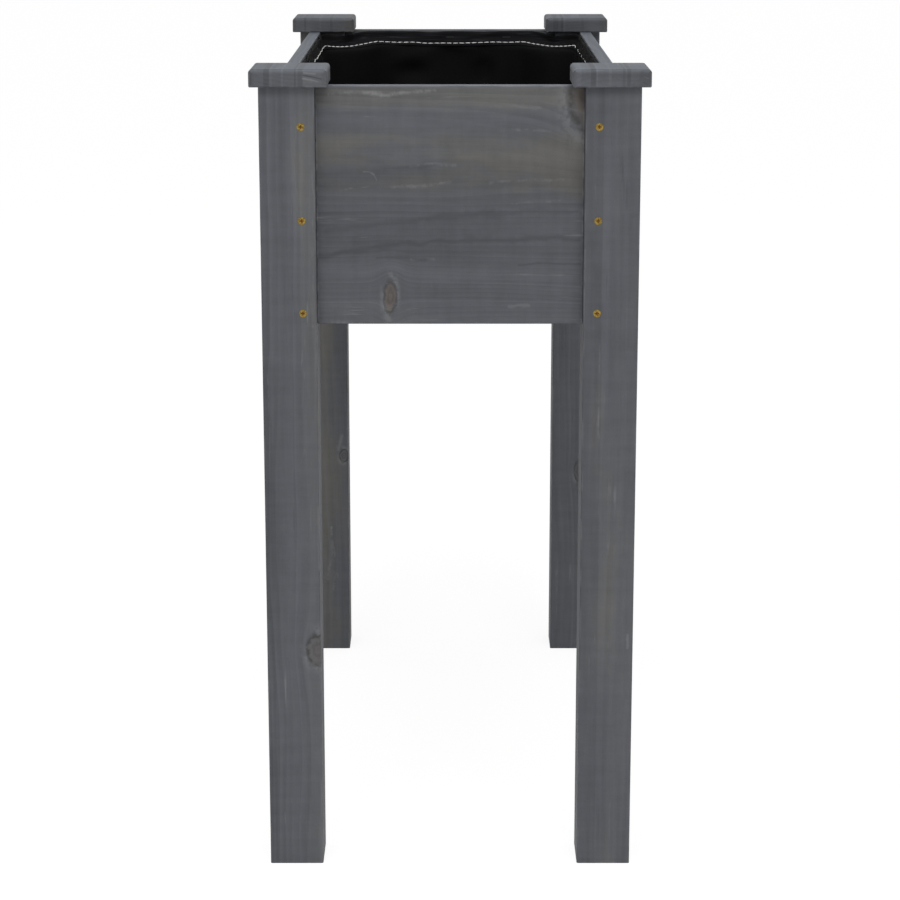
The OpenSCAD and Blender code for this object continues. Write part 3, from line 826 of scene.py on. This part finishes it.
def zinc_finish(node):
    """Yellow zinc, with painted shade in the drive of the screws that show."""
    material, finish = new_finish(node + "_zinc")
    place = finish.join(*finish.places())
    blotch = finish.smooth(finish.noise(place, 600.0, 3.0), 0.35, 0.65)
    colour = finish.mix(blotch, ZINC, ZINC_DULL)
    roughness = 0.36 + blotch * 0.14
    metal = 1.0
    if node in SCREW_ROWS:
        radius = screw_radius(finish, node)
        # Painted shade: the drive is coloured dark brown, and made rough and not metallic, for the
        # shade in its recess.
        drive_shade = 1 - finish.smooth(radius, *DRIVE_SHADE_REACH)
        rim = finish.smooth(radius, *HEAD_RIM)
        colour = finish.mix(rim * 0.6, colour, ZINC_DULL)
        colour = finish.mix(drive_shade, colour, DRIVE_SHADE_BROWN)
        roughness = roughness + drive_shade * 0.35
        metal = 1 - drive_shade
    finish.surface(colour, roughness, blotch * (0.02 * MM), {"Metallic": metal})
    put_on(node, material)


def steel_finish():
    """The staples' wire, coated black."""
    material, finish = new_finish("staple_wire")
    place = finish.join(*finish.places())
    drawn = finish.noise(place, 900.0, 2.0)
    colour = finish.scaled(STAPLE_DARK, drawn * 0.4 + 0.8)
    finish.surface(colour, 0.42 + drawn * 0.15, drawn * (0.02 * MM), {"Metallic": 0.6})
    put_on("liner_staples", material)


def beech_finish():
    material, finish = new_finish("beech")
    x, y, z = finish.places()
    fibre = finish.noise(finish.join(x * 700.0, y * 700.0, z * 40.0), 1.0, 2.0)
    colour = finish.mix(fibre, BEECH, BEECH_DEEP)
    finish.surface(colour, 0.55 + fibre * 0.1, fibre * (0.05 * MM))
    put_on("cap_dowels", material)


# ---- Cloth liner, its folded hem and its stitches

NEAR = 0.1 * MM           # nearer than this is the same place
CLOTH = 1.2 * MM
HEM_CLOTH = 0.9 * MM
CELL = 11.05 * MM         # of the cloth's mesh
CELLS_ACROSS = 28         # across the floor of the bag
CELLS_ALONG = 64
CORNER_CELLS = 6          # cut off each corner of the floor, round the battens
FLOOR_CLEAR = 3.0 * MM    # above the slats when the cloth is let go
WALL_TOP = 0.800
FLARE = 0.806             # where the bag starts to widen to the rim
HEM_LEVELS = (0.804, 0.8075, 0.810, 0.813, 0.816, 0.819, 0.822)
STITCH_LEVEL = 0.810
HEM_FOOT = 0.8075
STAPLE_LEVEL = 0.816
RIM_GAP = 1.4 * MM        # between the boards and the middle of the cloth at the rim
RIM_CORNER = 58.6 * MM
STAPLES_ALONG = (7, 88.3 * MM)   # how many on each long side, and their pitch
STAPLES_ACROSS = (3, 72.7 * MM)
PIN_REACH = 8.0 * MM      # of a staple along the hem
PIN_RISE = 1.0 * MM       # above the stitches, where its reach starts
STIFF_DROP = 3.0 * MM     # below the stitches, where the hem starts to be stiff
HELD_BY_HEM = 0.60        # how much the stiff hem keeps its line between the staples
HEM_DROOP = 0.72          # how much less that is at the corners, far from any staple
DROOP_REACH = (40.0 * MM, 75.0 * MM)   # from the nearest staple
HEM_FOLD = ((0.35, 0.75), (0.75, 0.30), (0.50, -0.30))   # out and up in mm, over the rim
LAYER_GAP = 0.05 * MM
SETTLING_FRAMES = 30
SKIN = 1.0 * MM           # the distance that the cloth and the wood each keep
WOOD_FRICTION = 8.0
CLOTH_FEEL = {
    "quality": 5,
    "mass": 0.12,
    "tension_stiffness": 30.0,
    "compression_stiffness": 30.0,
    "shear_stiffness": 12.0,
    "bending_stiffness": 2.5,
    "air_damping": 3.0,
    "shrink_min": -0.022,
    "pin_stiffness": 1.0,
}
STITCH_PITCH = 8.0 * MM
STITCH_LENGTH = 7.9 * MM
DOT_LENGTH = 5.0 * MM     # of a stitch on the right side, where most are pulled in
DOT_EVERY = 3             # how many stitches there are to one that shows
FACES_LEFT = -0.9         # a direction with less than this of x points left
THREAD = 1.15 * MM
END_HEM = (0.135, 0.155)  # how far from the middle the hem of the end walls ends
PRESSED = 2200.0          # radians a metre of the cloth's pressed points
LINER_BLACK = linear("#0b0b0c")
# Painted light: the hem is the same cloth as the liner, painted a lighter black for the light that
# it catches at the rim.
HEM_BLACK = linear("#131315")
HEM_STREAK = linear("#323336")
THREAD_WHITE = linear("#e4e4e2")

DENTS = (                 # in the rear wall: the middle, the reach each way and the depth
    (Vector((-0.050, 0.353, 0.772)), Vector((0.032, 0.030, 0.022)), 9.0 * MM),
    (Vector((0.044, 0.353, 0.770)), Vector((0.018, 0.030, 0.026)), 8.0 * MM),
)

CLOTH_NEIGHBOURS = [
    node
    for node in sorted(nodes)
    if node.endswith(("_post", "_board", "_batten", "end_slat")) or node.startswith("bottom_slat")
]


def inner_faces():
    """How far the inner faces of the long boards and of the end boards are from the middle."""
    side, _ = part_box("right_board")
    end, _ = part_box("rear_board")
    return Vector((side.x, end.y))


def outline_place(x, y, rim, widening):
    """Where a point of the bag's plan outline is once the bag has widened towards the rim."""
    bag = Vector((CELLS_ACROSS / 2, CELLS_ALONG / 2)) * CELL
    cut = CORNER_CELLS * CELL
    share_x = (bag.x - abs(x)) / cut
    share_y = (bag.y - abs(y)) / cut
    wide_x = rim.x - share_x * RIM_CORNER
    wide_y = rim.y - share_y * RIM_CORNER
    if share_x > 1:
        wide_x = abs(x) / (bag.x - cut) * (rim.x - RIM_CORNER)
    if share_y > 1:
        wide_y = abs(y) / (bag.y - cut) * (rim.y - RIM_CORNER)
    wide_x = abs(x) + (wide_x - abs(x)) * widening
    wide_y = abs(y) + (wide_y - abs(y)) * widening
    return math.copysign(wide_x, x), math.copysign(wide_y, y)


def smooth_step(value, low, high):
    share = min(max((value - low) / (high - low), 0.0), 1.0)
    return share * share * (3 - 2 * share)


def liner_blank():
    """The sewn bag before it hangs: a floor with cut corners, and walls drawn up from its edge."""
    _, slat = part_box("bottom_slat_1")
    floor_z = slat.z + FLOOR_CLEAR
    rim = inner_faces() - Vector((RIM_GAP, RIM_GAP))
    half = Vector((CELLS_ACROSS / 2 * CELL, CELLS_ALONG / 2 * CELL, 1))
    bm = bmesh.new()
    level = bm.verts.layers.float.new("level")
    bmesh.ops.create_grid(bm, x_segments=CELLS_ACROSS, y_segments=CELLS_ALONG, size=1.0)
    bmesh.ops.scale(bm, verts=bm.verts, vec=half)
    bmesh.ops.translate(bm, verts=bm.verts, vec=(0, 0, floor_z))
    for sign_x in (-1, 1):
        for sign_y in (-1, 1):
            corner = Vector((sign_x * half.x, sign_y * (half.y - CORNER_CELLS * CELL), floor_z))
            bmesh.ops.bisect_plane(
                bm,
                geom=bm.verts[:] + bm.edges[:] + bm.faces[:],
                dist=NEAR,
                plane_co=corner,
                plane_no=(sign_x, sign_y, 0),
                clear_outer=True,
            )
    steps = round((WALL_TOP - floor_z) / CELL)
    wall = [floor_z + (WALL_TOP - floor_z) * (i + 1) / steps for i in range(steps)]
    ring = [edge for edge in bm.edges if edge.is_boundary]
    plan = {vert: (vert.co.x, vert.co.y) for edge in ring for vert in edge.verts}
    for z in wall + list(HEM_LEVELS):
        grown = bmesh.ops.extrude_edge_only(bm, edges=ring)["geom"]
        ring = [part for part in grown if isinstance(part, bmesh.types.BMEdge) and part.is_boundary]
        widening = smooth_step(z, FLARE, STAPLE_LEVEL)
        raised = {}
        for vert in {vert for edge in ring for vert in edge.verts}:
            below = next(edge.other_vert(vert) for edge in vert.link_edges if not edge.is_boundary)
            raised[vert] = plan[below]
            vert.co.x, vert.co.y = outline_place(*plan[below], rim, widening)
            vert.co.z = z
            vert[level] = z
        plan = raised
    bmesh.ops.recalc_face_normals(bm, faces=bm.faces)
    return in_order(bm)


def in_order(bm):
    """The same mesh with its parts sorted by place. The operators leave them in an order that
    changes from run to run, and the way that the cloth settles depends on it."""
    level = bm.verts.layers.float["level"]
    fresh = bmesh.new()
    fresh_level = fresh.verts.layers.float.new("level")
    number = {}
    verts = []
    for vert in sorted(bm.verts, key=lambda vert: tuple(vert.co)):
        number[vert] = len(verts)
        verts.append(fresh.verts.new(vert.co))
        verts[-1][fresh_level] = vert[level]
    for pair in sorted(sorted(number[vert] for vert in edge.verts) for edge in bm.edges):
        fresh.edges.new([verts[i] for i in pair])
    loops = []
    for face in bm.faces:
        loop = [number[vert] for vert in face.verts]
        first = loop.index(min(loop))
        loops.append(loop[first:] + loop[:first])
    for loop in sorted(loops):
        fresh.faces.new([verts[i] for i in loop])
    bm.free()
    return fresh


def staple_places():
    """The middle of each staple on the plan, from the pitches and the rim of the box."""
    side, end = inner_faces()
    count, pitch = STAPLES_ALONG
    steps = [(i - (count - 1) / 2) * pitch for i in range(count)]
    places = [Vector((sign * side, step)) for sign in (-1, 1) for step in steps]
    count, pitch = STAPLES_ACROSS
    steps = [(i - (count - 1) / 2) * pitch for i in range(count)]
    return places + [Vector((step, sign * end)) for sign in (-1, 1) for step in steps]


def pin_weights(piece):
    """Full weight at the staples, and a little along the rest of the hem."""
    places = staple_places()
    weights = {}
    for vert, level in zip(piece.data.vertices, piece.data.attributes["level"].data):
        near = min((vert.co.xy - place).length for place in places)
        held = near < PIN_REACH and level.value > STITCH_LEVEL + PIN_RISE
        along_hem = smooth_step(level.value, STITCH_LEVEL - STIFF_DROP, STAPLE_LEVEL)
        loose = 1 - HEM_DROOP * smooth_step(near, *DROOP_REACH)
        weights[vert.index] = 1.0 if held else HELD_BY_HEM * along_hem * loose
    group = piece.vertex_groups.new(name="held")
    for index, weight in weights.items():
        group.add([index], weight, "REPLACE")
    return group.name


def cloth_bench():
    """Plain boxes round the liner that the cloth lies against while it settles."""
    bm = bmesh.new()
    for node in CLOTH_NEIGHBOURS:
        low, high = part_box(node)
        made = bmesh.ops.create_cube(bm, size=1.0)["verts"]
        bmesh.ops.scale(bm, verts=made, vec=high - low)
        bmesh.ops.translate(bm, verts=made, vec=(low + high) / 2)
    bench = new_piece("cloth_bench", bm)
    bench.modifiers.new("collision", "COLLISION")
    bench.collision.thickness_outer = SKIN
    bench.collision.cloth_friction = WOOD_FRICTION
    return bench


def settle_cloth(piece):
    """Lets the bag hang from its staples, and keeps the settled mesh, made finer."""
    bench = cloth_bench()
    cloth = piece.modifiers.new("settling", "CLOTH")
    for key, setting in CLOTH_FEEL.items():
        setattr(cloth.settings, key, setting)
    cloth.settings.vertex_group_mass = pin_weights(piece)
    cloth.collision_settings.distance_min = SKIN
    cloth.collision_settings.collision_quality = 2
    cloth.point_cache.frame_start = 1
    cloth.point_cache.frame_end = SETTLING_FRAMES
    finer = piece.modifiers.new("finer", "SUBSURF")
    finer.levels = 1
    finer.render_levels = 1
    scene = bpy.context.scene
    for frame_number in range(1, SETTLING_FRAMES + 1):
        scene.frame_set(frame_number)
    hanging = piece.evaluated_get(bpy.context.evaluated_depsgraph_get())
    settled = bpy.data.meshes.new_from_object(hanging)
    piece.modifiers.clear()
    piece.vertex_groups.clear()
    piece.data = settled
    scene.frame_set(1)
    bpy.data.objects.remove(bench)


def press_dents(piece):
    """Soft dents in the rear wall, pushed out towards the board and no further than it."""
    board = inner_faces().y - CLOTH
    for place, reach, depth in DENTS:
        for vert in piece.data.vertices:
            if vert.co.y > 0 and vert.co.z > place.z - 2 * reach.z:
                away = Vector((v / r for v, r in zip(vert.co - place, reach))).length
                pressed = vert.co.y + depth * (1 - smooth_step(away, 0.0, 1.0))
                vert.co.y = max(vert.co.y, min(pressed, board))


def inward_ways(bm):
    """The direction from each vertex of the cloth towards the inside of the bag."""
    bm.normal_update()
    outward = sum(vert.normal.dot(vert.co.xy.to_3d()) for vert in bm.verts) > 0
    return {vert: -vert.normal if outward else vert.normal.copy() for vert in bm.verts}


def hem_mesh(liner):
    """The cloth's edge folded in over the rim and down the inside, as a second layer."""
    bm = bmesh.new()
    bm.from_mesh(liner.data)
    level = bm.verts.layers.float["level"]
    low = [vert for vert in bm.verts if vert[level] < HEM_FOOT - NEAR]
    bmesh.ops.delete(bm, geom=low, context="VERTS")
    gap = (CLOTH + HEM_CLOTH) / 2 + LAYER_GAP
    ways = inward_ways(bm)
    for vert, way in ways.items():
        vert.co += way * gap
    top = [edge for edge in bm.edges if edge.is_boundary]
    top = [edge for edge in top if all(vert[level] > STAPLE_LEVEL for vert in edge.verts)]
    for out, up in HEM_FOLD:
        grown = bmesh.ops.extrude_edge_only(bm, edges=top)["geom"]
        top = [part for part in grown if isinstance(part, bmesh.types.BMEdge) and part.is_boundary]
        fresh = {}
        for vert in {vert for edge in top for vert in edge.verts}:
            below = next(edge.other_vert(vert) for edge in vert.link_edges if not edge.is_boundary)
            fresh[vert] = ways[below]
            vert.co += Vector((0, 0, up * MM)) - ways[below] * (out * MM)
        ways = fresh
    bmesh.ops.recalc_face_normals(bm, faces=bm.faces)
    return in_order(bm)


def ring_at(bm, z):
    """The vertices of one level of the wall in order, with their inward directions."""
    level = bm.verts.layers.float["level"]
    ways = inward_ways(bm)
    start = next(vert for vert in bm.verts if abs(vert[level] - z) < NEAR)
    ring = [start]
    previous = None
    while True:
        nexts = [
            edge.other_vert(ring[-1])
            for edge in ring[-1].link_edges
            if abs(edge.other_vert(ring[-1])[level] - z) < NEAR
        ]
        onward = nexts[0] if nexts[0] != previous else nexts[1]
        if onward == start:
            return [(vert.co.copy(), ways[vert]) for vert in ring]
        previous = ring[-1]
        ring.append(onward)


def stitch_mesh(liner):
    """A row of thread dashes along the hem, on its inner face."""
    wall = bmesh.new()
    wall.from_mesh(liner.data)
    ring = ring_at(wall, STITCH_LEVEL)
    wall.free()
    bm = bmesh.new()
    travelled = STITCH_PITCH
    number = 0
    for here, there in zip(ring, ring[1:] + ring[:1]):
        step = there[0] - here[0]
        while travelled < step.length:
            share = travelled / step.length
            way = here[1].lerp(there[1], share).normalized()
            middle = here[0] + step * share
            travelled += STITCH_PITCH
            number += 1
            pulled_in = middle.x > 0 and way.x < FACES_LEFT
            if pulled_in and number % DOT_EVERY:
                continue
            length = DOT_LENGTH if pulled_in else STITCH_LENGTH
            depth = CLOTH / 2 + HEM_CLOTH + LAYER_GAP + THREAD / 4
            along = step.normalized()
            turn = Matrix((along, along.cross(way), way)).transposed().to_4x4()
            size = Matrix.Diagonal((length / 2, THREAD / 2, THREAD / 2, 1))
            place = Matrix.Translation(middle + way * depth) @ turn @ size
            bmesh.ops.create_uvsphere(bm, u_segments=6, v_segments=5, radius=1.0, matrix=place)
        travelled -= step.length
    bmesh.ops.recalc_face_normals(bm, faces=bm.faces)
    return bm


def thickened(piece, thickness):
    wall = piece.modifiers.new("cloth", "SOLIDIFY")
    wall.thickness = thickness
    wall.offset = 0


def make_liner():
    liner = new_piece("liner_cloth", liner_blank(), True)
    settle_cloth(liner)
    press_dents(liner)
    hem = new_piece("liner_hem", hem_mesh(liner), True)
    stitches = new_piece("hem_stitches", stitch_mesh(liner), True)
    thickened(liner, CLOTH)
    thickened(hem, HEM_CLOTH)
    liner.data.materials.append(cloth_finish("liner_black", LINER_BLACK, False))
    hem.data.materials.append(cloth_finish("hem_black", HEM_BLACK, True))
    stitches.data.materials.append(thread_finish())
    for piece in (liner, hem, stitches):
        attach(piece, "root")
    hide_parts("liner")
    _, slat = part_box("bottom_slat_1")
    drop = HEM_LEVELS[-1] - slat.z + HEM_LEVELS[-1] - HEM_FOOT
    width = CELLS_ACROSS * CELL + 2 * drop
    length = CELLS_ALONG * CELL + 2 * drop
    area = width * length - 4 * drop * drop


def cloth_finish(name, black, streaks):
    """Black non-woven cloth: short fibres and small pressed points, and on the hem streaks along
    it, fainter and darker down the long sides."""
    material, finish = new_finish(name)
    x, y, z = finish.places()
    place = finish.join(x, y, z)
    fibre = finish.noise(place, 900.0, 3.0, 0.6)
    cloud = finish.noise(place, 55.0, 3.0)
    points = finish.math("SINE", (x + y) * PRESSED) * finish.math("SINE", z * PRESSED)
    pressed = finish.smooth(points, 0.55, 0.9)
    shade = 0.72 + fibre * 0.35 + cloud * 0.30 - pressed * 0.12
    height = fibre * (0.06 * MM) - pressed * (0.05 * MM)
    if streaks:
        # Painted light: the hem's lighter black shows only on the end walls. Down the long sides
        # the hem is about as dark as the liner.
        end = 1 - finish.smooth(finish.math("ABSOLUTE", x), *END_HEM)
        drawn = finish.noise(finish.join(x * 26.0, y * 26.0, z * 620.0), 1.0, 2.0)
        streak = finish.smooth(drawn, 0.54, 0.74) * (0.12 + end * 0.38)
        colour = finish.mix(streak, finish.scaled(black, shade * (0.45 + end * 0.55)), HEM_STREAK)
        height = height + drawn * (0.10 * MM)
    else:
        colour = finish.scaled(black, shade)
    finish.surface(colour, 0.74 + fibre * 0.2, height, {"Specular IOR Level": 0.06})
    return material


def thread_finish():
    material, finish = new_finish("hem_thread")
    x, y, z = finish.places()
    twist = finish.math("SINE", (x + y + z * 1.4) * 9000.0) * 0.5 + 0.5
    colour = finish.scaled(THREAD_WHITE, 0.80 + twist * 0.2)
    finish.surface(colour, 0.70 + twist * 0.1, twist * (0.05 * MM), {"Specular IOR Level": 0.25})
    return material


make_camera()
make_world()
make_key_light()
make_floor()
finish_wood()
for kind in ("post_side", "post_end", "batten", "cleat", "slat"):
    zinc_finish(kind + "_screws")
steel_finish()
beech_finish()
make_liner()

bpy.context.scene.view_settings.view_transform = "Standard"
